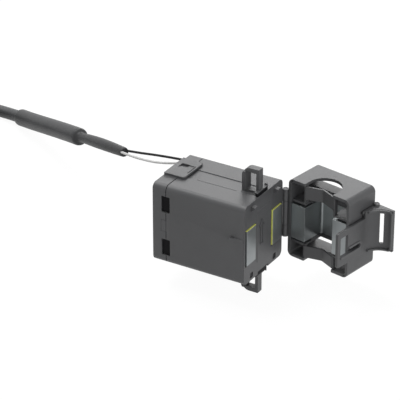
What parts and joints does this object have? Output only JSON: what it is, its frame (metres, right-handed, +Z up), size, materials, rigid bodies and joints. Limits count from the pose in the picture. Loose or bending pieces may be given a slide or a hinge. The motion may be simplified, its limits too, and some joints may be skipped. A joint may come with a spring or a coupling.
{
  "type": "split core current transformer",
  "caption": "Split-core current transformer with a hinged jaw, a latch lever, tie lugs and a two-wire lead that ends in a coiled cable.",
  "frame": {"origin": "centre of the conductor window on the mating plane, at the middle of the body's height", "axes": "+X from the covered back of the housing towards the jaw, +Y towards the hinge, +Z up along the conductor"},
  "size_m": [0.3646, 0.1224, 0.07],
  "materials": {
    "grey_plastic": "satin",
    "core_steel": "ground",
    "yellow_film": "satin",
    "black_plastic": "satin",
    "copper_winding": "enamelled",
    "black_foam": "matte",
    "board": "satin",
    "tinned_metal": "tinned",
    "pin_steel": "bright",
    "black_insulation": "satin",
    "white_insulation": "satin",
    "grey_sleeve": "satin",
    "cable_sheath": "satin"
  },
  "bodies": {
    "housing": {"main_housing": "grey_plastic", "rear_cover": "grey_plastic", "long_core_half": "core_steel", "latch_leg_liner": "yellow_film", "hinge_leg_liner": "yellow_film", "bobbin": "black_plastic", "winding": "copper_winding", "winding_wrap": "yellow_film", "foam_pad": "black_foam", "terminal_board": "board", "terminal_posts": "tinned_metal", "wire_clamp": "black_plastic", "hinge_pin": "pin_steel", "black_lead_wire": "black_insulation", "white_lead_wire": "white_insulation", "heat_shrink_sleeve": "grey_sleeve", "lead_cable": "cable_sheath", "cable_coil": "cable_sheath", "coil_tie": "black_plastic", "cable_tail": "cable_sheath", "black_wire_end": "black_insulation", "white_wire_end": "white_insulation"},
    "jaw": {"jaw_shell": "grey_plastic", "core_carrier": "grey_plastic", "short_core_half": "core_steel", "core_spring": "pin_steel", "upper_retaining_band": "grey_plastic", "lower_retaining_band": "grey_plastic", "latch_pin": "pin_steel"},
    "latch": {"latch_lever": "grey_plastic"}
  },
  "joints": [
    {"name": "jaw_hinge", "type": "hinge", "parent": "housing", "child": "jaw", "pos_m": [0, 0.02125, 0.0018], "axis": [0, 0, 1], "range_deg": [-80, 30]},
    {"name": "latch_pivot", "type": "hinge", "parent": "jaw", "child": "latch", "pos_m": [0.04513, 0.0336, 0.001], "axis": [0, 0, 1], "range_deg": [0, 8], "stiffness_Nm_per_rad": 0.05}
  ]
}
